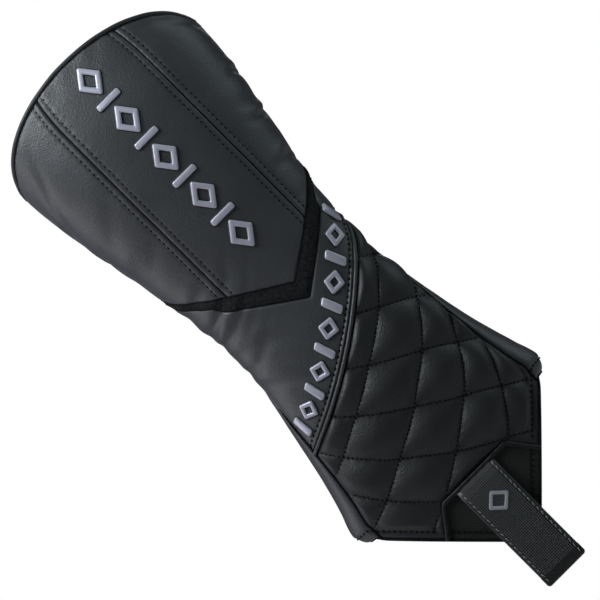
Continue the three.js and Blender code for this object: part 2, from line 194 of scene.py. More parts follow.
softbox("key_left", (-0.22, -0.28, 0.68), 4.5, (0.30, 0.30), (0.90, 0.97, 1.0))
softbox("front", (-0.30, -1.3, 0.8), 1.2, (0.8, 0.8), (0.84, 1.0, 1.0))
softbox("rim_left", (-1.1, -0.1, 0.35), 5.2, (0.5, 1.0), (0.97, 0.96, 1.0))
softbox("rim_right", (1.2, -0.12, 0.5), 4.0, (0.5, 1.0), (0.84, 1.0, 1.0))
softbox("back_fill", (0.3, 1.7, 0.9), 6, (1.4, 1.0), (1.0, 1.0, 1.0))
bpy.context.scene.view_settings.view_transform = "Standard"

# ---------------------------------------------------------------- the sleeve's surface, in mm

# Stations of the sleeve: height, half width and half depth.
SLEEVE = np.array(
    [
        [-20, 60, 15], [56, 60, 19.2], [60, 60.4, 19.6], [64, 63.2, 20], [69, 65.3, 20.4],
        [74, 64.4, 20.8], [82, 61.6, 21.3], [105, 55.2, 22.8], [130, 50, 23.8], [153, 45.8, 24.2],
        [178, 44.5, 24.5], [202, 46.4, 26.5], [226, 50.6, 29.5], [250, 55, 32.5], [275, 59.3, 34.5],
        [300, 62, 35], [322, 61.5, 32], [342, 58.5, 27],
    ],
    float,
)
# Height and turn in degrees of the seam at each side.
SIDE_SEAM = np.array(
    [
        [60, 66], [64, 60], [69, 57], [82, 58], [100, 62],
        [120, 68], [140, 76], [158, 86], [175, 90], [341, 90],
    ],
    float,
)
SECTION_POWER = 2.3
RIM_HEIGHT, RIM_RISE, RIM_HALF_WIDTH, CAP_DOME = 304.5, 33.9, 62.3, 2.2
CENTRE_X, CENTRE_PANEL_HALF = 3, 28
SEAM_BEND = (312, 0.004)
CHEVRON_TIP, CHEVRON_SHIFT, CHEVRON_WIDTH, CHEVRON_STEP = 181.1, 1.5, 10.4, 38.5
CHEVRON_LEFT, TAPER_LEFT, END_WIDTH_LEFT = 0.61, 0.07, 4.6
CHEVRON_RIGHT, TAPER_RIGHT, END_WIDTH_RIGHT = 0.69, 0.045, 5.6
DIAGONAL = (142.1, 0.7, 0.0032)
BACK_SEAM, NECK_HEIGHT, SIDE_SEAM_TOP = 215.5, 179, 142
NEAR_RIM, NEAR_CHEVRON = 320.0, 190.0  # where the search for a curve's height starts
HEM_TIP, HEM_SIDE, BACK_HEM_TIP = 3, 61, 36
NOTCH_TOP, NOTCH_TOP_HALF, NOTCH_HALF, NOTCH_SIDE = 50.5, 21.5, 34, 32
HEM_ROW = 6.2
QUILT_RISE, QUILT_SLOPE, QUILT_FOOT, QUILT_CENTRE, QUILT_BEND = 30.5, 0.67, 64.8, -0.9, 0.0034


def along(table, height, column):
    """Smooth curve through the stations of a table."""
    z, v = table[:, 0], table[:, column]
    slope = np.empty_like(v)
    slope[1:-1] = (v[2:] - v[:-2]) / (z[2:] - z[:-2])
    slope[0] = (v[1] - v[0]) / (z[1] - z[0])
    slope[-1] = (v[-1] - v[-2]) / (z[-1] - z[-2])
    i = np.clip(np.searchsorted(z, height) - 1, 0, len(z) - 2)
    h = z[i + 1] - z[i]
    t = np.clip((height - z[i]) / h, 0, 1)
    rise = (1 + 2 * t) * (1 - t) ** 2 * v[i] + t * t * (3 - 2 * t) * v[i + 1]
    return rise + h * t * (1 - t) ** 2 * slope[i] + h * t * t * (t - 1) * slope[i + 1]


def bell(distance, width):
    return np.exp(-((distance / width) ** 2))


def unit(v):
    return v / np.linalg.norm(v, axis=-1, keepdims=True)


def signed_power(v):
    return np.sign(v) * np.abs(v) ** (2 / SECTION_POWER)


def sleeve(t, z):
    """Points of the smooth outer surface, by the turn from the front centre and the height."""
    t, z = np.broadcast_arrays(np.asarray(t, float), np.asarray(z, float))
    x = along(SLEEVE, z, 1) * signed_power(np.sin(t))
    y = -along(SLEEVE, z, 2) * signed_power(np.cos(t))
    return np.stack([x, y, z], -1)


def outward(t, z):
    across = sleeve(t + 0.01, z) - sleeve(t - 0.01, z)
    upward = sleeve(t, z + 0.5) - sleeve(t, z - 0.5)
    return unit(np.cross(across, upward))


def turn_at(x, z):
    share = np.clip(np.abs(x) / along(SLEEVE, z, 1), 0, 1)
    return np.sign(x) * np.arcsin(share ** (SECTION_POWER / 2))


# Length along the surface from the seam centreline, kept as a table over turn and height.
ARC_Z = np.arange(-20, 343, 3.0)
ARC_T = np.radians(np.arange(-180, 181, 1.0))
_rows = sleeve(ARC_T[None, :], ARC_Z[:, None])
_length = np.concatenate(
    [np.zeros((len(ARC_Z), 1)), np.cumsum(np.linalg.norm(np.diff(_rows, axis=1), axis=-1), 1)], 1
)
_centre = turn_at(np.full(len(ARC_Z), float(CENTRE_X)), ARC_Z)
ARC = _length - np.array([np.interp(c, ARC_T, row) for c, row in zip(_centre, _length)])[:, None]
ARC_S = np.arange(-190, 191, 1.0)
TURN = np.array([np.interp(ARC_S, row, ARC_T) for row in ARC])


def lookup(table, columns, c, z):
    """Value of a table over columns and ARC_Z."""
    c, z = np.broadcast_arrays(np.asarray(c, float), np.asarray(z, float))
    i = np.clip((z - ARC_Z[0]) / 3.0, 0, len(ARC_Z) - 1.001)
    j = np.clip((c - columns[0]) / (columns[1] - columns[0]), 0, len(columns) - 1.001)
    i0, j0 = i.astype(int), j.astype(int)
    fi, fj = i - i0, j - j0
    low = table[i0, j0] * (1 - fj) + table[i0, j0 + 1] * fj
    high = table[i0 + 1, j0] * (1 - fj) + table[i0 + 1, j0 + 1] * fj
    return low * (1 - fi) + high * fi


def wrap(t):
    return (np.asarray(t, float) + math.pi) % (2 * math.pi) - math.pi


def arc(t, z):
    return lookup(ARC, ARC_T, wrap(t), z)


def turn_at_arc(s, z):
    return lookup(TURN, ARC_S, s, z)


# Curves across the sleeve: the height where each one meets a turn at a trial height.
def rim(t, z):
    share = np.minimum(1, np.abs(sleeve(t, z)[..., 0]) / RIM_HALF_WIDTH)
    return RIM_HEIGHT + RIM_RISE * np.sqrt(1 - share**2)


def chevron_top(t, z):
    s = arc(t, z) - CHEVRON_SHIFT
    return CHEVRON_TIP + np.abs(s) * np.where(s < 0, CHEVRON_LEFT, CHEVRON_RIGHT)


def chevron_bottom(t, z):
    s = arc(t, z) - CHEVRON_SHIFT
    wide = CHEVRON_WIDTH - np.abs(s) * np.where(s < 0, TAPER_LEFT, TAPER_RIGHT)
    narrow = np.where(s < 0, END_WIDTH_LEFT, END_WIDTH_RIGHT)
    change = np.clip((np.abs(s) - CHEVRON_STEP + 1) / 2, 0, 1)
    return chevron_top(t, z) - wide + (wide - narrow) * change


def diagonal_at(s):
    return DIAGONAL[0] + DIAGONAL[1] * s + DIAGONAL[2] * s * s


def diagonal(t, z):
    return diagonal_at(arc(t, z))


def hem(t, z):
    x = np.abs(sleeve(t, z)[..., 0])
    front = np.minimum(HEM_SIDE, HEM_TIP + x)
    behind = BACK_HEM_TIP + (HEM_SIDE - BACK_HEM_TIP) * x / along(SLEEVE, z, 1)
    return np.where(np.cos(t) >= 0, front, behind)


def notch(t, z):
    x = np.abs(sleeve(t, z)[..., 0])
    side = (x - NOTCH_TOP_HALF) / (NOTCH_HALF - NOTCH_TOP_HALF)
    return np.maximum(NOTCH_TOP - np.maximum(0, side) * (NOTCH_TOP - NOTCH_HALF), hem(t, z))


def level(height):
    return lambda t, z: np.full(np.shape(t), float(height))


def shifted(curve, by):
    return lambda t, z: curve(t, z) + by


def side_seam(side):
    return lambda z: side * np.radians(along(SIDE_SEAM, z, 1))


def at_x(x):
    return lambda z: turn_at(np.full(np.shape(z), float(x)), z)


def seam_x(x, z):
    """Where a line beside the centre panel lies at a height: the seams lean together at the crown."""
    return x - np.sign(x - CENTRE_X) * SEAM_BEND[1] * np.maximum(0, z - SEAM_BEND[0]) ** 2


def beside_centre(x):
    return lambda z: turn_at(seam_x(x, z), z)


def turned(degrees):
    return lambda z: np.full(np.shape(z), math.radians(degrees))


def crossing(column, curve, start):
    z = np.asarray(start, float)
    for _ in range(14):
        z = curve(column(z), z)
    return z


# ---------------------------------------------------------------- noise and the soft shape


def value_noise(p, scale, seed):
    """Smooth noise from -1 to 1 at points p."""
    q = p / scale + 1000
    i = np.floor(q).astype(np.int64)
    f = q - i
    f = f * f * (3 - 2 * f)
    total = np.zeros(p.shape[:-1])
    for corner in np.ndindex(2, 2, 2):
        h = (i + corner) @ np.array([374761, 668265, 912271])
        h = (h + seed * 97463) & 0xFFFFFFFF
        h = ((h ^ (h >> 13)) * 12741261) & 0xFFFFFFFF
        h = ((h ^ (h >> 15)) * 7462013) & 0xFFFFFFFF
        near = np.where(corner, f, 1 - f)
        w = near[..., 0] * near[..., 1] * near[..., 2]
        total += w * ((h ^ (h >> 16)) / 2147483647.5 - 1)
    return total


# Folds of the soft skin: turn in degrees, height, slope, and length, width and depth in mm. Most
# lie at the waist, where the elastic gathers it, and at the right edge.
FOLDS = [
    (-70, 206, 0.10, 20, 3.6, 0.7), (-64, 193, 0.22, 22, 3.2, 1.2), (-58, 184, 0.12, 22, 3.2, 1.3),
    (-54, 173, -0.15, 20, 4.0, 0.9), (-72, 164, 0.05, 20, 3.6, 1.1), (-62, 153, -0.25, 22, 4.2, 0.9),
    (-34, 181, 0.35, 16, 4.5, 0.5), (84, 277, -0.25, 10, 2.4, 1.5), (76, 262, -0.15, 14, 4.0, 0.8),
    (80, 252, 0.10, 13, 2.6, 1.5), (76, 228, -0.20, 14, 3.0, 1.3), (76, 208, 0.10, 14, 3.6, 0.7),
    (74, 190, 0.15, 14, 3.2, 0.6), (-76, 238, 0.18, 16, 5.0, 0.6), (-50, 236, 0.5, 18, 6.0, 0.6),
    (-55, 258, 0.7, 20, 7.0, 0.5), (-62, 290, 1.6, 20, 6.0, 0.6), (62, 315, -0.7, 14, 3.4, 0.9),
    (120, 262, 0.15, 18, 4.0, 1.0), (108, 232, -0.15, 18, 3.6, 1.0), (-112, 248, 0.20, 20, 4.0, 0.9),
    (-125, 224, -0.10, 20, 4.0, 0.9), (150, 238, 0.25, 24, 5.0, 0.9), (-160, 256, -0.30, 26, 6.0, 0.8),
]


def soft(t, z, p):
    """How far the skin stands out from the smooth surface, in mm: slow swells, folds and gathers."""
    out = 0.6 * value_noise(p, 38, 1) + 0.16 * value_noise(p, 15, 2) + 0.05 * value_noise(p, 6, 3)
    s = arc(t, z)
    for degrees, height, slope, length, width, depth in FOLDS:
        s0 = float(arc(math.radians(degrees), height))
        ds = s - s0
        ds = (ds + 170) % 340 - 170 if abs(degrees) > 95 else ds
        bow = 0.012 * ds * ds * np.sign(slope + 1e-6)
        off = z - height - slope * ds - bow + 1.2 * value_noise(p, 9, 4)
        reach = bell(ds, length)
        out += depth * reach * (0.55 * bell(off - 1.6 * width, 1.5 * width))
        out -= depth * reach * bell(off, width)
    behind = np.clip((np.abs(wrap(t)) - 1.25) / 0.5, 0, 1)
    near = bell(z - NECK_HEIGHT, 15)
    pleat = np.sin(2 * math.pi * (s + 2.2 * value_noise(p, 12, 5)) / 7.5)
    out += behind * near * (1.1 * pleat - 1.2)
    return out


# ---------------------------------------------------------------- meshes


def mesh_object(name, points, faces, looks, body="cover"):
    """A smooth mesh from points in mm. faces is an array of quads or triangles, or a list of both."""
    points = np.asarray(points, float).reshape(-1, 3) * MM
    data = bpy.data.meshes.new(name)
    groups = faces if isinstance(faces, list) else [faces]
    loops = np.concatenate([g.ravel() for g in groups]).astype(np.int32)
    sizes = np.concatenate([np.full(len(g), g.shape[1]) for g in groups])
    data.vertices.add(len(points))
    data.vertices.foreach_set("co", points.ravel().astype(np.float32))
    data.loops.add(len(loops))
    data.loops.foreach_set("vertex_index", loops)
    data.polygons.add(len(sizes))
    starts = np.concatenate([[0], np.cumsum(sizes)[:-1]]).astype(np.int32)
    data.polygons.foreach_set("loop_start", starts)
    data.polygons.foreach_set("loop_total", sizes.astype(np.int32))
    data.update(calc_edges=True)
    data.validate()
    data.polygons.foreach_set("use_smooth", np.full(len(data.polygons), True))
    data.materials.append(looks)
    made = placed(name, data)
    if body:
        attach(made, body)
    return made


def grid_faces(rows, cols, closed=False):
    r = np.arange(rows - 1)[:, None]
    c = np.arange(cols if closed else cols - 1)[None, :]
    n = (c + 1) % cols
    a, b = r * cols + c, r * cols + n
    d, e = (r + 1) * cols + c, (r + 1) * cols + n
    return np.stack([a, b, e, d], -1).reshape(-1, 4).astype(np.int64)


def graded(length, step):
    """Shares from 0 to 1 along a length in mm, closer together near both ends."""
    fine, band = 0.35, 3.0
    edge = np.arange(0, band, fine)
    if length < 2 * band + 2 * step:
        count = max(4, int(length / (0.5 * step)))
        return np.linspace(0, 1, count + 1)
    middle = np.linspace(band, length - band, max(2, int((length - 2 * band) / step)) + 1)
    return np.concatenate([edge, middle, length - edge[::-1]]) / length


def patch(left, right, bottom, top, step=0.9):
    """Grid of turns and heights between two columns and two curves, and the distance to each side."""
    centre = lambda z: (left(z) + right(z)) / 2
    z_mid = 0.5 * (crossing(centre, bottom, 150.0) + crossing(centre, top, 200.0))
    wide = abs(float(arc(right(z_mid), z_mid) - arc(left(z_mid), z_mid)))
    wide = wide if wide > 1 else 150.0
    u = graded(wide, step)
    column = lambda z: left(z) + (right(z) - left(z)) * u
    low = crossing(column, bottom, np.full(len(u), 150.0))
    high = crossing(column, top, np.full(len(u), 200.0))
    v = graded(float(np.max(high - low)), step)
    z = low[None, :] + (high - low)[None, :] * v[:, None]
    t = left(z) + (right(z) - left(z)) * u[None, :]
    p = sleeve(t, z)
    across = np.cumsum(np.linalg.norm(np.diff(p, axis=1), axis=-1), 1)
    across = np.concatenate([np.zeros((len(v), 1)), across], 1)
    pitch = np.maximum(1e-6, np.gradient(across.mean(0)))
    lean, lean_top = (np.sqrt(1 + np.clip(np.gradient(c) / pitch, -3, 3) ** 2) for c in (low, high))
    edges = [across, across[:, -1:] - across, (z - low) / lean, (high - z) / lean_top]
    return t, z, p, np.stack(edges)


def roll(distance, depth=1.5, width=1.5):
    """Dip of a panel's edge where it turns in to a seam."""
    return depth * np.exp(-((np.maximum(distance, 0) / width) ** 1.3))


def lipped(points, normals, depth):
    """Grid with its border carried inwards, so that a panel's edge has thickness."""
    ring = np.pad(points, ((1, 1), (1, 1), (0, 0)), mode="edge")
    n = np.pad(normals, ((1, 1), (1, 1), (0, 0)), mode="edge")
    inner = np.zeros(ring.shape[:2], bool)
    inner[1:-1, 1:-1] = True
    return np.where(inner[..., None], ring, ring - n * depth)


def skin_piece(name, nodes, looks, area, offset, depth=1.4):
    t, z, p, _ = area
    n = outward(t, z)
    points = lipped(p + n * offset[..., None], n, depth)
    made = mesh_object(name, points, grid_faces(*points.shape[:2]), looks)
    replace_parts(made, *nodes)


def sweep(path, normals, radius, sides, closed=False):
    """Round tube along a path, as (points, faces). radius may vary along it."""
    path = np.asarray(path, float)
    if closed:
        forward = np.roll(path, -1, 0) - np.roll(path, 1, 0)
    else:
        forward = np.gradient(path, axis=0)
    forward = unit(forward)
    u = unit(normals - np.sum(normals * forward, 1, keepdims=True) * forward)
    w = np.cross(forward, u)
    angle = np.linspace(0, 2 * math.pi, sides, endpoint=False)
    radius = np.broadcast_to(np.asarray(radius, float), (len(path),))
    ring = np.cos(angle)[:, None] * u[:, None] + np.sin(angle)[:, None] * w[:, None]
    points = path[:, None] + ring * radius[:, None, None]
    faces = grid_faces(len(path), sides, closed=True)
    if closed:
        last = (len(path) - 1) * sides
        k = np.arange(sides)
        n = (k + 1) % sides
        faces = np.concatenate([faces, np.stack([last + k, last + n, n, k], -1)])
    return points.reshape(-1, 3), faces


def surface_cord(name, t, z, rise, radius, looks, sides=8, softness=1.0):
    """Round cord laid along the skin."""
    p, n = sleeve(t, z), outward(t, z)
    points, faces = sweep(p + n * (softness * soft(t, z, p) + rise)[:, None], n, radius, sides)
    return mesh_object(name, points, faces, looks)


def length_along(path):
    return np.concatenate([[0], np.cumsum(np.linalg.norm(np.diff(path, axis=0), axis=1))])


def resample(path, step):
    """Points at an even step along a path."""
    run = length_along(path)
    at = np.arange(step / 2, run[-1], step)
    return np.stack([np.interp(at, run, path[:, k]) for k in range(path.shape[1])], 1)


class Thread:
    """Collects stitches, each a short arched thread that dives into the skin at both ends."""

    ALONG, ROUND = 7, 6  # points along a stitch and round it

    def __init__(self):
        self.points, self.faces, self.count = [], [], 0

    def row(self, path, normals, pitch, share=0.72, radius=0.26, lift=0.2, lean=0.0):
        centres = resample(np.concatenate([path, normals], 1), pitch)
        forward = unit(np.gradient(centres[:, :3], axis=0))
        n = unit(centres[:, 3:])
        way = unit(forward + lean * np.cross(forward, n))
        u = np.linspace(-1, 1, self.ALONG)
        half = pitch * share / 2
        line = centres[:, None, :3] + way[:, None] * (u * half)[None, :, None]
        height = lift + radius * 0.3 - (np.abs(u) ** 3) * (radius * 1.6 + lift)
        line = line + n[:, None] * height[None, :, None]
        thick = radius * (1 - 0.45 * np.abs(u) ** 4)
        angle = np.linspace(0, 2 * math.pi, self.ROUND, endpoint=False)[:, None]
        across = np.cross(way, n)[:, None, None]
        ring = np.cos(angle) * n[:, None, None] + np.sin(angle) * across
        points = line[:, :, None] + ring * thick[None, :, None, None]
        one = grid_faces(self.ALONG, self.ROUND, closed=True)
        for stitch in points:
            self.points.append(stitch.reshape(-1, 3))
            self.faces.append(one + self.count)
            self.count += self.ALONG * self.ROUND

    def make(self, name, looks, body="cover"):
        return mesh_object(name, np.concatenate(self.points), np.concatenate(self.faces), looks, body)


# ---------------------------------------------------------------- materials


def leather(name, dark, light, rough=0.47, grain=0.7, shine=0.5):
    """Grained synthetic leather. dark and light are the ends of a slow colour drift."""
    look = Look(name, Specular_IOR_Level=shine)
    put(look.shader, Sheen_Weight=0.08, Sheen_Roughness=0.5, Sheen_Tint=(0.8, 0.78, 1, 1))
    slow = look.texture("Noise", Scale=28, Detail=3)
    look.colour(slow.outputs["Fac"], dark, light, (0.35, 0.7))
    pebble = look.texture("Voronoi")
    pebble.feature = "SMOOTH_F1"
    put(pebble, Scale=1150, Smoothness=0.6)
    fine = look.texture("Noise", Scale=2600, Detail=2)
    crease = look.texture("Noise", Scale=260, Detail=5, Distortion=0.6).outputs["Fac"]
    grains = look.add(fine.outputs["Fac"], 0.35, pebble.outputs["Distance"])
    look.bump(look.add(crease, 0.65, grains), grain, 0.00016)
    look.spread(crease, rough - 0.06, rough + 0.08, "Roughness")
    return look.made


def cloth(name, colour, scale, fleck, depth, sheen, shine=0.2):
    """Matt cloth with a nap. fleck gives the darkest and lightest share of the colour."""
    look = Look(name, Roughness=0.85, Specular_IOR_Level=shine, Sheen_Weight=sheen)
    nap = look.texture("Noise", Scale=scale, Detail=6, Roughness=0.7).outputs["Fac"]
    dark, light = ([share * c for c in colour] for share in fleck)
    look.colour(nap, dark, light, (0.3, 0.75))
    look.bump(nap, 1.0, depth)
    return look.made


def weave(name, colour, pitch, tilts, rough=0.7, depth=0.00025):
    """Plain weave seen from the front: two sets of threads, at two tilts in degrees."""
    look = Look(name, Roughness=rough, Specular_IOR_Level=0.3)
    both = look.node("Math")
    both.operation = "MULTIPLY"
    for k, tilt in enumerate(tilts):
        tilted = look.node("Mapping", Rotation=(0, math.radians(tilt), 0))
        wave = look.node("TexWave", Scale=math.pi / (10 * pitch * MM))
        put(wave, Distortion=0.8, Detail=1, Detail_Scale=3)
        wave.wave_type, wave.bands_direction = "BANDS", "X"
        look.link(look.node("TexCoord").outputs["Object"], tilted.inputs["Vector"])
        look.link(tilted.outputs["Vector"], wave.inputs["Vector"])
        look.link(wave.outputs["Fac"], both.inputs[k])
    look.colour(both.outputs[0], [0.35 * c for c in colour], [1.7 * c for c in colour])
    look.bump(both.outputs[0], 0.9, depth)
    return look.made


def plain(name, colour, rough, metal=0.0, speckle=0.0, shine=0.5):
    """Smooth finish with a faint drift in its roughness."""
    look = Look(name, Base_Color=(*colour, 1), Metallic=metal, Specular_IOR_Level=shine)
    drift = look.texture("Noise", Scale=700).outputs["Fac"]
    look.spread(drift, rough - 0.08, rough + 0.08, "Roughness")
    if speckle:
        look.bump(drift, speckle, 0.0001)
    return look.made


LEATHER = leather("leather", (0.022, 0.0225, 0.025), (0.029, 0.0295, 0.033))
QUILT = leather("quilt_leather", (0.008, 0.0083, 0.0088), (0.0115, 0.0118, 0.0128), shine=0.32)
FELT = cloth("felt", (0.0052, 0.0056, 0.0062), 560, (0.05, 4.0), 0.0008, 0.02, shine=0.1)
PIPING = leather("piping_leather", (0.003, 0.003, 0.0034), (0.0045, 0.0045, 0.005), 0.5, 0.3, 0.2)
WELT = leather("welt_leather", (0.012, 0.0125, 0.0135), (0.018, 0.0185, 0.020), 0.5, shine=0.35)
# Black thread for the stitching and the hem cord. The same near-black also paints the shade of the seam
# crevices, as sunk cords.
THREAD_AND_SEAM_SHADE = plain("black_thread_and_seam_shade", (0.0025, 0.0025, 0.003), 0.8, shine=0.12)
GREY_THREAD = plain("grey_thread", (0.16, 0.165, 0.165), 0.6)
PATCH = weave("nylon_weave", (0.0085, 0.0084, 0.008), 0.785, (45, -45))
SILVER = plain("silver_film", (0.36, 0.35, 0.42), 0.38, metal=0.25, speckle=0.15)
# Near-black for the painted shade of the debossed edges round the raised motifs.
SHADOW = plain("painted_deboss_shade", (0.004, 0.004, 0.0045), 0.7)
FLEECE = cloth("fleece", (0.03, 0.03, 0.033), 420, (0.45, 1.5), 0.0012, 0.4)
TAB_LEATHER = leather("tab_leather", (0.012, 0.012, 0.0125), (0.018, 0.018, 0.019), grain=0.4)
FOLD = leather("fold_leather", (0.006, 0.006, 0.0054), (0.0085, 0.0085, 0.0076), 0.5, 0.12, 0.35)
RIBBON = weave("grosgrain", (0.043, 0.043, 0.044), 1.05, (0, 90), rough=0.75, depth=0.0001)
MARK = plain("mark_thread", (0.24, 0.235, 0.27), 0.5, speckle=0.5)

# ---------------------------------------------------------------- upper body

left_edge = beside_centre(CENTRE_X - CENTRE_PANEL_HALF)
right_edge = beside_centre(CENTRE_X + CENTRE_PANEL_HALF)
TOPSTITCH = [CENTRE_X + side * CENTRE_PANEL_HALF + d for side in (-1, 1) for d in (-3.3, 3.3)]
under_welt = shifted(rim, 0.1)
SEAM, SIDE, WAIST, CROWN = (0.9, 0.7), (1.1, 1.5), (0.9, 0.9), (1.0, 1.2)


def upper(name, node, left, right, bottom, top, sides):
    """A plain panel. sides gives the depth and width of the roll at each of its four edges."""
    area = patch(left, right, bottom, top)
    t, z, p, edges = area
    offset = soft(t, z, p)
    for distance, (depth, width) in zip(edges, sides):
        offset = offset - roll(distance, depth, width)
    gather = bell(edges[3], 9) * 0.12
    offset = offset + gather * np.sin(arc(t, z) / 2.3 + 2 * np.sin(z / 7))
    if "front" in name:
        for x in TOPSTITCH:
            d = p[..., 0] - seam_x(x, z)
            offset = offset - 0.34 * bell(d, 0.75)
            offset = offset + 0.05 * bell(d, 3.0) * np.sin(z * 2 * math.pi / 5.1 + x)
    skin_piece(name, [node], LEATHER, area, offset)


upper("skin_front_left", "front_left_panel", side_seam(-1), left_edge,
      chevron_top, under_welt, (SIDE, SEAM, WAIST, CROWN))
upper("skin_front_centre", "front_centre_panel", left_edge, right_edge,
      chevron_top, under_welt, (SEAM, SEAM, WAIST, CROWN))
upper("skin_front_right", "front_right_panel", right_edge, side_seam(1),
      chevron_top, under_welt, (SEAM, SIDE, WAIST, CROWN))
upper("skin_back_upper", "back_upper_panel", turned(90), turned(270),
      level(BACK_SEAM), under_welt, (SIDE, SIDE, CROWN, CROWN))


def rim_at(t):
    return crossing(lambda q: t, rim, np.full(np.shape(t), NEAR_RIM))


def cap_point(t, share):
    """Points and normals of the cap. share runs from -1 at the front to 1 at the back."""
    z = rim_at(t)
    edge = sleeve(t, z)
    lift = CAP_DOME * (1 - share**2) * np.cos(t) ** 0.5
    n = unit(np.stack([edge[..., 0] / RIM_HALF_WIDTH**2, 0 * z, (z - RIM_HEIGHT) / RIM_RISE**2], -1))
    middle = np.stack([edge[..., 0], -edge[..., 1] * share, z], -1)
    return middle + n * lift[..., None], n


def cap_piece(name, nodes, looks, reach, margin, depth, lip):
    t = np.radians(np.linspace(-reach, reach, 170))[None, :]
    half = np.abs(sleeve(t, rim_at(t))[..., 1])
    v = (graded(60, 1.0) * 2 - 1)[:, None]
    share = v * (1 - margin / half)
    t = np.broadcast_to(t, share.shape)
    p, n = cap_point(t, share)
    gap = (1 - np.abs(share)) * half
    ends = np.minimum(1, (reach - np.abs(np.degrees(t))) / 4)
    offset = 0.5 * value_noise(p, 26, 7) + 0.15 * value_noise(p, 9, 8)
    offset = offset - roll(gap - margin, 1.0, 1.6) - depth - (1 - ends)
    points = lipped(p + n * offset[..., None], n, lip)
    made = mesh_object(name, points, grid_faces(*points.shape[:2]), looks)
    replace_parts(made, *nodes)


cap_piece("skin_crown_cap", ["crown_cap", "crown_padding"], LEATHER, 86.5, 0.5, 0.0, 1.4)

# Welt round the cap, sunk where it turns the corner at the sides.
t = np.radians(np.linspace(-90, 270, 700, endpoint=False))
z = rim_at(t)
n = unit(outward(t, z) * 0.6 + np.array([0, 0, 0.8]))
p = sleeve(t, z)
rise = 0.2 - 1.6 * np.abs(np.sin(t)) ** 9 + 0.1 * value_noise(p, 8, 9)
points, faces = sweep(p + n * rise[:, None], n, 1.1, 12, closed=True)
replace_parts(mesh_object("welt_crown", points, faces, WELT), "crown_welt")

# The two centre seams: a near-black cord sunk in the groove between the panels, painted shade of the seam's
# crevice.
for side, name in ((-1, "left"), (1, "right")):
    column = beside_centre(CENTRE_X + side * CENTRE_PANEL_HALF)
    low, high = float(crossing(column, chevron_top, NEAR_CHEVRON)), float(crossing(column, rim, NEAR_RIM))
    z = np.linspace(low, high - 1.0, 500)
    surface_cord(f"seam_shade_centre_{name}", column(z), z, -0.68, 0.42, THREAD_AND_SEAM_SHADE)

# ---------------------------------------------------------------- waist

area = patch(side_seam(-1), side_seam(1), chevron_bottom, chevron_top, step=0.7)
t, z, p, edges = area
middle = np.minimum(edges[2], edges[3])
offset = soft(t, z, p) + 0.35 - roll(middle, 1.3, 0.6) + 0.1 * value_noise(p, 1.6, 11)
offset -= roll(edges[0], *SIDE) + roll(edges[1], *SIDE)
row = np.minimum(np.abs(edges[3] - 1.5), np.abs(edges[2] - 1.5))
offset -= 0.3 * bell(row, 0.55)
skin_piece("band_chevron", ["chevron_trim"], FELT, area, offset)


def over_front(curve, reach, count, start):
    """Turns and heights along a curve over a share of the front's width."""
    share = np.linspace(-reach, reach, count)
    column = lambda q: side_seam(1)(q) * share
    z = crossing(column, curve, np.full(count, start))
    return column(z), z


# Near-black cords in the seams along the two edges of the band: painted shade of the seam crevices.
for name, edge in (("top", chevron_top), ("bottom", chevron_bottom)):
    surface_cord(f"seam_shade_chevron_{name}", *over_front(edge, 0.97, 400, NEAR_CHEVRON), -0.5, 0.42, THREAD_AND_SEAM_SHADE)

area = patch(side_seam(-1), side_seam(1), shifted(diagonal, 1.1), chevron_bottom, step=0.8)
t, z, p, edges = area
offset = soft(t, z, p) - roll(edges[0], 1.2) - roll(edges[1], 1.2) - roll(edges[3], 0.7, 0.9)
offset -= roll(edges[2], 0.8, 0.6) + 0.35 * bell(edges[2] - 2.5, 0.7)
offset += 0.3 * bell(edges[2] - 1.2, 0.9)
skin_piece("skin_yoke", ["yoke_panel"], LEATHER, area, offset)

piping = surface_cord("roll_diagonal", *over_front(diagonal, 1, 260, 140.0), 0.0, 1.0, LEATHER, 12)
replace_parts(piping, "diagonal_piping")

# ---------------------------------------------------------------- quilted skirt


def lattice(s, z):
    """Distance across the diamonds. Rows close up toward the side seams, more so low at the right."""
    low = np.clip((145 - z) / 40, 0, 1)
    return s + 0.022 * low * np.maximum(0, s - 22) ** 2 - 0.005 * np.maximum(0, -s - 22) ** 2


def quilt_drift(p):
    return 0.7 * value_noise(p, 22, 21)


def risen(distance):
    """Share of the padding's full height at a distance from the panel's edge."""
    return 1 - np.exp(-((distance / 2.6) ** 1.6))


def quilting(t, z, p):
    """Height of the padded diamonds above the surface, in mm."""
    s = lattice(arc(t, z) - QUILT_CENTRE, z)
    level_z = z - QUILT_FOOT - QUILT_BEND * s * s
    drift = quilt_drift(p)
    one = (level_z - QUILT_SLOPE * s + drift) / QUILT_RISE
    two = (level_z + QUILT_SLOPE * s - drift) / QUILT_RISE
    across = QUILT_RISE / math.hypot(1, QUILT_SLOPE)
    puff = (np.abs(np.sin(math.pi * one)) * np.abs(np.sin(math.pi * two))) ** 0.62
    ripple = 0.0
    for line, run in ((one, two), (two, one)):
        near = np.abs(line - np.round(line)) * across
        beat = np.sin(run * across * 2 * math.pi / 4.4 + 3 * value_noise(p, 7, 22))
        ripple = ripple + 0.06 * bell(near, 2.4) * beat
    lumps = 0.22 * value_noise(p, 12, 23) + 0.06 * value_noise(p, 4.5, 24)
    return 3.7 * puff - 0.9 + ripple + lumps * puff


def hem_groove(t, z):
    """Dip along the row of stitches above the hem."""
    return 0.4 * bell(z - hem(t, z) - HEM_ROW, 1.1)


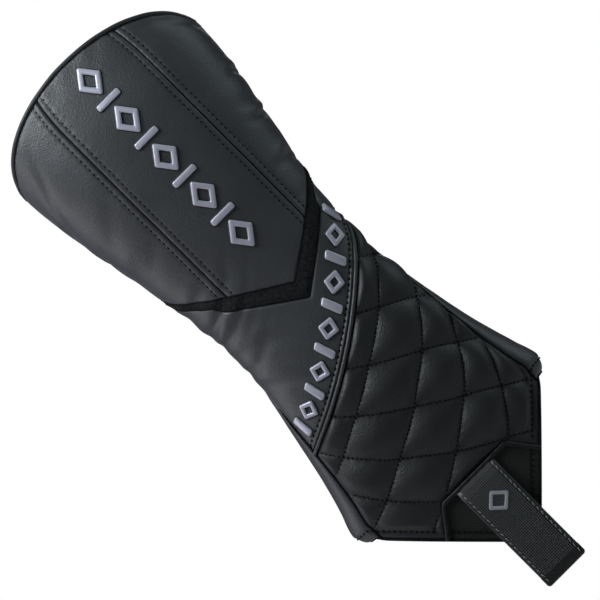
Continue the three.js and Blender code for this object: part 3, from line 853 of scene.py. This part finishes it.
area = patch(side_seam(-1), side_seam(1), shifted(notch, 0.4), shifted(diagonal, -0.9), step=0.62)
t, z, p, edges = area
border = np.maximum(np.min(edges, axis=0), 0)
beside = np.clip((np.abs(p[..., 0]) - NOTCH_SIDE + 1) / 2, 0, 1)
puffed = np.clip((z - hem(t, z) - HEM_ROW) / 5, 0, 1) * beside
puffed = puffed + np.clip(edges[2] / 4, 0, 1) * (1 - beside)
height = quilting(t, z, p) * risen(border) * puffed
offset = 0.5 * soft(t, z, p) + height - roll(border, 1.2, 1.0) - hem_groove(t, z)
skin_piece("skin_quilted_skirt", ["quilted_skirt_panel", "front_lower_padding"], QUILT, area, offset)

# Back of the skirt, wrapping round to the side seams in front.
far_side = lambda z: 2 * math.pi + side_seam(-1)(z)
area = patch(side_seam(1), far_side, shifted(hem, 0.5), level(BACK_SEAM), step=1.0)
t, z, p, edges = area
offset = soft(t, z, p) - roll(edges[0], 1.4) - roll(edges[1], 1.4) - roll(edges[3], 1.6)
offset = offset - hem_groove(t, z) - roll(edges[2], 0.6, 0.8)
skin_piece("skin_back_lower", ["back_lower_panel", "back_lower_padding"], LEATHER, area, offset)

# Woven patch in the notch, set a little lower than the quilting.
edge = NOTCH_SIDE + 0.2
area = patch(at_x(-edge), at_x(edge), shifted(hem, 0.5), shifted(notch, -0.2), step=0.7)
t, z, p, edges = area
offset = -0.5 + 0.2 * value_noise(p, 12, 31) - hem_groove(t, z)
skin_piece("patch_tip", ["tip_patch"], PATCH, area, offset, depth=1.0)

# Piping round the notch. It has no point within 0.9 mm of the two corners, so that it rounds them.
sides = np.linspace(NOTCH_TOP_HALF + 0.9, NOTCH_SIDE + 0.4, 30)
top_half = NOTCH_TOP_HALF - 0.9
xs = np.concatenate([-sides[::-1], np.linspace(-top_half, top_half, 70), sides])
z = crossing(lambda q: turn_at(xs, q), notch, np.full(len(xs), 45.0))
t = turn_at(xs, z)
n = outward(t, z)
wave = 0.15 * np.sin(np.arange(len(xs)) * 0.7)
over_tab = 0.6 * np.clip((15 - np.abs(xs)) / 3, 0, 1)
points, faces = sweep(sleeve(t, z) + n * (0.35 + over_tab + wave * 0.5)[:, None], n, 1.2, 12)
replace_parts(mesh_object("binding_notch", points, faces, PIPING), "notch_binding")

# Overcast edge round the mouth: a cord wrapped in thread.
front, behind = np.linspace(-90, 90, 900, endpoint=False), np.linspace(90, 270, 700, endpoint=False)
t = np.radians(np.concatenate([front, behind]))
z = crossing(lambda q: t, shifted(hem, 0.3), np.full(len(t), 50.0))
p = sleeve(t, z)
n = outward(t, z)
sunk = 0.3 + 0.8 * np.clip((np.abs(p[:, 0]) - 54) / 4, 0, 1)
wrapped = 0.62 + 0.16 * np.abs(np.sin(math.pi * length_along(p) / 1.3))
points, faces = sweep(p - n * sunk[:, None], n, wrapped, 8, closed=True)
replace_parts(mesh_object("edge_hem", points, faces, THREAD_AND_SEAM_SHADE), "hem_cord")

# The skirt's side seams: a tight near-black cord sunk in the groove between the two panels, painted shade
# of the seam's crevice.
for side, name in ((-1, "left"), (1, "right")):
    column = side_seam(side)
    z = np.linspace(float(crossing(column, hem, 62.0)) + 0.5, SIDE_SEAM_TOP, 300)
    thick = 0.62 * np.clip((SIDE_SEAM_TOP - z) / 12, 0.1, 1) ** 0.5 + 0.05 * np.sin(z * 2.1)
    surface_cord(f"seam_{name}", column(z), z, -0.35, thick, THREAD_AND_SEAM_SHADE, softness=0.75)

# ---------------------------------------------------------------- lining


def lining(name, nodes, left, right):
    area = patch(left, right, shifted(hem, 0.9), shifted(rim, -6), step=1.6)
    t, z, p, edges = area
    n = outward(t, z)
    tuck = np.clip(edges[2] / 14, 0, 1)
    depth = 1.7 + 6.3 * tuck * tuck * (3 - 2 * tuck)
    pile = 0.45 * value_noise(p, 3.2, 41) + 0.5 * value_noise(p, 12, 42)
    points = p - n * (depth + pile * tuck)[..., None]
    made = mesh_object(name, points, grid_faces(*points.shape[:2])[:, ::-1], FLEECE)
    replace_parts(made, *nodes)


for side, ends in (("front", (-90, 90)), ("back", (90, 270))):
    inside = [f"{side}_lining", f"{side}_upper_padding", f"neck_elastic_{side}"]
    lining(f"lining_{side}", inside, *map(turned, ends))
cap_piece("lining_crown", ["crown_lining"], FLEECE, 78, 4.5, 7.6, 0.4)

# ---------------------------------------------------------------- raised motifs


def inset(loop, d):
    """Convex anticlockwise polygon with every side moved in by d."""
    loop = np.asarray(loop, float)
    out = []
    for k in range(len(loop)):
        a, b, c = loop[k - 1], loop[k], loop[(k + 1) % len(loop)]
        e, f = b - a, c - b
        e, f = e / np.linalg.norm(e), f / np.linalg.norm(f)
        m, n = np.array([-e[1], e[0]]), np.array([-f[1], f[0]])
        bend = m + n
        out.append(b + bend * d / (1 + float(m @ n)))
    return np.array(out)


def rounded(loop, d, radius):
    """The polygon inset by d, with corners of a radius."""
    count = 6
    core = inset(loop, d + radius)
    points = []
    for k in range(len(core)):
        a, b, c = (np.asarray(loop[i % len(loop)]) for i in (k - 1, k, k + 1))
        e, f = b - a, c - b
        start = math.atan2(-e[0], e[1])
        end = math.atan2(-f[0], f[1])
        end += 2 * math.pi * (end < start - 1e-6)
        for i in range(count):
            angle = start + (end - start) * i / (count - 1)
            points.append(core[k] + radius * np.array([math.cos(angle), math.sin(angle)]))
    return np.array(points)


def motif(loop, stroke, place, store, lift=0.1, height=1.25, widen=0.0):
    """Adds a raised bar, or a ring of a stroke's width, to store as (points, faces, lid)."""
    ring = stroke is not None
    width = stroke if ring else 2.6
    profile = [(0.0, 0.0), (0.02, 0.55), (0.22, 0.85), (0.75, 1.0)]
    # With widen: a low flat band reaching widen past the outline, the shape of the painted shade round a
    # motif.
    steps = [(-widen, 0.0), (-widen + 0.02, height * 0.2)] if widen else [
        (d, h * height) for d, h in profile
    ]
    if ring and not widen:
        steps += [(width - d, h * height) for d, h in reversed(profile)]
    elif ring:
        steps += [(width + widen - 0.02, height * 0.2), (width + widen, 0.0)]
    rings = []
    for d, h in steps:
        corner = max(0.12, 1.1 - d) if d < width / 2 or not ring else 0.5
        flat = rounded(loop, d, corner)
        rings.append(place(flat[:, 0], flat[:, 1], lift + h))
    points = np.concatenate(rings)
    count = len(rings[0])
    faces = grid_faces(len(rings), count, closed=True)
    store.append((points, faces, None if ring else np.arange(count) + (len(rings) - 1) * count))


def diamond_loop(w, h):
    return np.array([[-w / 2, 0], [0, -h / 2], [w / 2, 0], [0, h / 2]])


def bar_loop(w, h, lean):
    low = [[-w / 2 - lean, -h / 2], [w / 2 - lean, -h / 2]]
    return np.array(low + [[w / 2 + lean, h / 2], [-w / 2 + lean, h / 2]])


def motif_object(name, node, looks, items, body="cover"):
    """One mesh of several motifs. A lid is the ring of points that a bar's flat top closes."""
    points, quads, tris, base = [], [], [], 0
    for own, faces, lid in items:
        points.append(own)
        quads.append(faces + base)
        if lid is not None:
            centre = base + len(own)
            points.append(own[lid].mean(0)[None])
            after = np.roll(lid, -1)
            tris.append(np.stack([lid + base, after + base, np.full(len(lid), centre)], -1))
            base += 1
        base += len(own)
    faces = [np.concatenate(quads)] + ([np.concatenate(tris)] if tris else [])
    made = mesh_object(name, np.concatenate(points), faces, looks, body)
    if node:
        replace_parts(made, node)


def on_skin(t, z, lift):
    p = sleeve(t, z)
    return p + outward(t, z) * (soft(t, z, p) + lift)[..., None]


def emblem_place(height):
    def place(u, v, lift):
        z = height + v
        return on_skin(turn_at(CENTRE_X + u, z), z, np.full(len(u), lift))
    return place


# Flat near-black rings round the motifs: painted shade of their debossed edges.
deboss_shade_rings = []


def raised(name, node, loop, stroke, at):
    """A silver motif, and a flat near-black ring round it: painted shade of a debossed edge."""
    items = []
    motif(loop, stroke, at, items)
    motif_object(name, node, SILVER, items)
    motif(loop, stroke, at, deboss_shade_rings, lift=0.04, widen=0.55)


EMBLEM_FOOT, EMBLEM_WIDTH, EMBLEM_STROKE = 207.5, 14.5, 2.9
DIAMOND_HEIGHT, BAR_HEIGHT, EMBLEM_GAP = 19.0, 3.5, 2.0
for k in range(5):
    middle = EMBLEM_FOOT + DIAMOND_HEIGHT / 2 + k * (DIAMOND_HEIGHT + BAR_HEIGHT + 2 * EMBLEM_GAP)
    loop, at = diamond_loop(EMBLEM_WIDTH, DIAMOND_HEIGHT), emblem_place(middle)
    raised(f"motif_diamond_{k + 1}", f"emblem_diamond_{k + 1}", loop, EMBLEM_STROKE, at)
    if k < 4:
        at = emblem_place(middle + DIAMOND_HEIGHT / 2 + EMBLEM_GAP + BAR_HEIGHT / 2)
        raised(f"motif_bar_{k + 1}", f"emblem_bar_{k + 1}", bar_loop(EMBLEM_WIDTH, BAR_HEIGHT, 0), None, at)

ROW_LEFT, ROW_RISE, ROW_HEIGHT, ROW_GAP, ROW_SQUEEZE = -46.0, 10.5, 11, 2.8, 0.86
ROW_BAR, ROW_BAR_LEAN, ROW_DIAMOND, ROW_STROKE = 4.4, 1.6, 12.0, 2.3


def row_place(middle, rise):
    def place(u, v, lift):
        s = middle + ROW_SQUEEZE * u
        lean = np.arctan(DIAGONAL[1] + 2 * DIAGONAL[2] * s)
        z = diagonal_at(s) + (rise + v) * np.cos(lean)
        return on_skin(turn_at_arc(s - (rise + v) * np.sin(lean), z), z, np.full(len(u), lift))
    return place


start = ROW_LEFT
for k in range(11):
    is_bar = k % 2 == 0
    width = ROW_BAR if is_bar else ROW_DIAMOND
    loop = bar_loop(width, ROW_HEIGHT, ROW_BAR_LEAN) if is_bar else diamond_loop(width, ROW_HEIGHT)
    node = f"row_bar_{k // 2 + 1}" if is_bar else f"row_diamond_{(k + 1) // 2}"
    at = row_place(start + width * ROW_SQUEEZE / 2, ROW_RISE)
    raised("motif_" + node, node, loop, None if is_bar else ROW_STROKE, at)
    start += (width + ROW_GAP) * ROW_SQUEEZE
# The painted shade round every motif, as one mesh.
motif_object("motif_deboss_shade", None, SHADOW, deboss_shade_rings)

# ---------------------------------------------------------------- stitching


def skin_line(t, z, sink, calm=1.0):
    """Points and normals of a line sewn into the skin."""
    p, n = sleeve(t, z), outward(t, z)
    return p + n * (calm * soft(t, z, p) - sink)[..., None], n


black = Thread()
DOTS = (0.56, 0.32, 0.14)  # share of the pitch, radius and lift of a short, thick stitch
DEEP_DOTS = (0.6, 0.4, 0.22)
for x in TOPSTITCH:
    column = beside_centre(x)
    low = float(crossing(column, chevron_top, NEAR_CHEVRON)) + 1.2
    high = float(crossing(column, rim, NEAR_RIM)) - 2.0
    z = np.linspace(low, high, 300)
    black.row(*skin_line(column(z), z, 0.36), 3.05, *DOTS)


def chord(curve, left, right, count=320, start=150.0):
    """Turns and heights along a curve between two columns."""
    u = np.linspace(0, 1, count)
    column = lambda q: left(q) + (right(q) - left(q)) * u
    z = crossing(column, curve, np.full(count, start))
    return column(z), z


inner = lambda side: (lambda z: side_seam(side)(z) - side * 0.12)
t, z = chord(shifted(chevron_top, -1.75), inner(-1), inner(1))
black.row(*skin_line(t, z, 0.1), 2.3, 0.5, 0.26, 0.1)
t, z = chord(shifted(diagonal, 4.2), side_seam(-1), side_seam(1))
black.row(*skin_line(t, z, 0.3), 3.05, *DEEP_DOTS)

# Quilting lines, both ways. The drift depends on a line's own height, so that is found in steps.
s = np.linspace(-72, 72, 500)
offset_s = s - QUILT_CENTRE
for way in (1, -1):
    for k in range(-4, 9):
        z = QUILT_FOOT + way * QUILT_SLOPE * offset_s + QUILT_RISE * k
        for _ in range(12):
            drift = quilt_drift(sleeve(turn_at_arc(s, z), z))
            across = lattice(offset_s, z)
            z = QUILT_FOOT + way * (QUILT_SLOPE * across - drift) + QUILT_BEND * across**2
            z = z + QUILT_RISE * k
        t = turn_at_arc(s, z)
        beside = np.abs(sleeve(t, z)[..., 0]) > NOTCH_SIDE
        over_hem = np.where(beside, z - hem(t, z) - HEM_ROW, z - notch(t, z) - 1.5)
        inside = (z < diagonal(t, z) - 2.0) & (over_hem > 0.6)
        inside &= np.abs(t) < side_seam(1)(z) - 0.08
        if inside.sum() < 25:
            continue
        ends = np.flatnonzero(inside)[[0, -1]]
        pick = np.arange(ends[0], ends[1] + 1)
        p, n = sleeve(t[pick], z[pick]), outward(t[pick], z[pick])
        above = z - notch(t, z)
        to_right, to_left = arc(side_seam(1)(z), z) - arc(t, z), arc(t, z) - arc(side_seam(-1)(z), z)
        near = np.minimum.reduce([diagonal(t, z) - z, above, to_right, to_left]).clip(0)
        settled = risen(near) * np.where(beside, over_hem / 5, above / 4).clip(0, 1)
        sink = 0.5 * soft(t[pick], z[pick], p) - 0.9 * settled[pick]
        black.row(p + n * (sink + 0.12)[:, None], n, 2.3, *DEEP_DOTS)

# Hem row, a little in from the edge, over the quilting, the patch and the back.
in_notch, past_notch = NOTCH_SIDE - 1, NOTCH_SIDE + 1
for ends in (
    (turned(-90), at_x(-past_notch)),
    (at_x(-in_notch), at_x(in_notch)),
    (at_x(past_notch), turned(90)),
    (turned(90), turned(270)),
):
    t, z = chord(shifted(hem, HEM_ROW), *ends, 260, 50.0)
    black.row(*skin_line(t, z, 0.3, 0.55), 2.8, *DEEP_DOTS)
for height in (BACK_SEAM + 3.2, BACK_SEAM - 3.2):
    t, z = chord(level(height), turned(92), turned(268), 400, 200.0)
    black.row(*skin_line(t, z, 0.05), 2.6)
black.make("stitching_black", THREAD_AND_SEAM_SHADE)

# ---------------------------------------------------------------- pull tab

strap_low, strap_high = (np.array(v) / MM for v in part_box("tab_strap"))
mark_low, mark_high = (np.array(v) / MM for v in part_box("tab_mark"))
TAB_X = (strap_low[0] + strap_high[0]) / 2
TAB_Y = (strap_low[1] + strap_high[1]) / 2
TAB_HALF = (strap_high[0] - strap_low[0]) / 2
TAB_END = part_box("tab_end_fold")[0][2] / MM
TAB_MARK_Z = (mark_low[2] + mark_high[2]) / 2
RIBBON_HALF, STITCH_HALF, RIB = 10.3, 10.9, 1.05
STRAP_Y = np.array([-21.4, -21.6, -22.4, -23.9, -25.0, -25.35, -25.4, -25.4, -25.4])
STRAP_Z = np.array([52.4, 51.2, 49.6, 47.0, 43.5, 38, 20, 0, -16])


def tab_line(z):
    """Middle of the strap in y, and its outward direction, at heights from the root to the far end."""
    y = np.interp(-z, -STRAP_Z, STRAP_Y - STRAP_Y[-1] + TAB_Y)
    slope = np.gradient(y) / np.gradient(z)
    return y + 0.12 * np.sin(z / 9), unit(np.stack([0 * z, -np.ones_like(z), slope], -1))


def on_tab(made, node):
    """Bakes a piece's transform into its mesh, and hides the CAD part that it replaces. The piece already
    follows the strap's bend from tab_line.
    """
    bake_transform(made)
    if node:
        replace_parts(made, node)


def strap_piece(name, node, low, high, half_width, half_thick, looks, rows=260, round_end=0.0):
    """Flat strap with soft edges, and with round_end a rounded far end."""
    z = np.linspace(high, low, rows)
    y, n = tab_line(z)
    middle = np.stack([np.full(rows, TAB_X), y, z], -1)
    side = np.array([1.0, 0, 0])
    sides = 64
    angle = np.linspace(0, 2 * math.pi, sides, endpoint=False)
    c, s = np.cos(angle), np.sin(angle)
    u = np.sign(c) * np.abs(c) ** 0.12 * half_width
    v = np.sign(s) * np.abs(s) ** 0.7 * half_thick
    end = np.ones(rows)
    if round_end:
        left_over = np.clip((z - low) / round_end, 0, 1)
        end = np.sqrt(np.clip(1 - (1 - left_over) ** 2, 0.02, 1))
    wide = 1 - (1 - end) * round_end / half_width
    points = middle[:, None] + side * (u[None, :, None] * wide[:, None, None])
    points = points + n[:, None] * (v[None, :] * end[:, None])[..., None]
    ring = np.arange(sides)
    after, last, base = np.roll(ring, -1), (rows - 1) * sides, rows * sides
    top = np.stack([after, ring, np.full(sides, base)], -1)
    bottom = np.stack([ring + last, after + last, np.full(sides, base + 1)], -1)
    faces = [grid_faces(rows, sides, closed=True), np.concatenate([top, bottom])]
    points = np.concatenate([points.reshape(-1, 3), middle[:1], middle[-1:]])
    on_tab(mesh_object(name, points, faces, looks, None), node)


strap_piece("tab_strap_leather", "tab_strap", TAB_END + 4, 51.2, TAB_HALF, 0.75, TAB_LEATHER)
wide = TAB_HALF + 0.15
strap_piece("tab_fold_leather", "tab_end_fold", TAB_END, TAB_END + 6.2, wide, 1.3, FOLD, 120, 1.8)

# Ribbon with ribs across it.
rows = 900
z = np.linspace(49.8, TAB_END + 6.0, rows)  # from the sewn root to the folded end
y, n = tab_line(z)
u = np.linspace(-RIBBON_HALF, RIBBON_HALF, 60)
bead = 0.15 * np.abs(np.sin(math.pi * z / RIB))
thread_beat = 0.08 * np.cos(math.pi * (u[None, :] / 0.7 + np.floor(z / RIB)[:, None]))
edge = np.minimum(1, (RIBBON_HALF - np.abs(u)) / 0.5)
lift = 0.75 + 0.45 * np.sqrt(edge)[None, :] + (bead[:, None] + thread_beat) * edge[None, :]
points = np.stack(np.broadcast_arrays(TAB_X + u, y[:, None], z[:, None]), -1)
points = points + n[:, None] * lift[..., None]
on_tab(mesh_object("tab_grosgrain", points, grid_faces(rows, 60)[:, ::-1], RIBBON, None), "tab_ribbon")

grey = Thread()
for side in (-1, 1):
    z = np.linspace(48.8, TAB_END + 1.2, 240)
    y, n = tab_line(z)
    x = np.full(240, TAB_X + side * STITCH_HALF)
    over = 0.92 + 0.42 * np.clip((TAB_END + 7.2 - z) / 1.0, 0, 1)
    grey.row(np.stack([x, y, z], -1) + n * over[:, None], n, 3.2, 0.78, 0.3, 0.16, lean=0.18 * side)
on_tab(grey.make("tab_stitching", GREY_THREAD, None), None)


def mark_place(u, v, lift):
    z = TAB_MARK_Z + v
    return np.stack([TAB_X + u, np.full(len(u), TAB_Y - 1.22) - lift, z], -1)


items = []
motif(diamond_loop(14, 13), 1.9, mark_place, items, lift=0.0, height=0.5)
motif_object("tab_diamond", "tab_mark", MARK, items, "pull_tab")

# ---------------------------------------------------------------- finish

low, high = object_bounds()
({
        "cad": [[float(v) for v in CAD_LOW], [float(v) for v in CAD_HIGH]],
        "visual": [[float(v) for v in low], [float(v) for v in high]],
    })
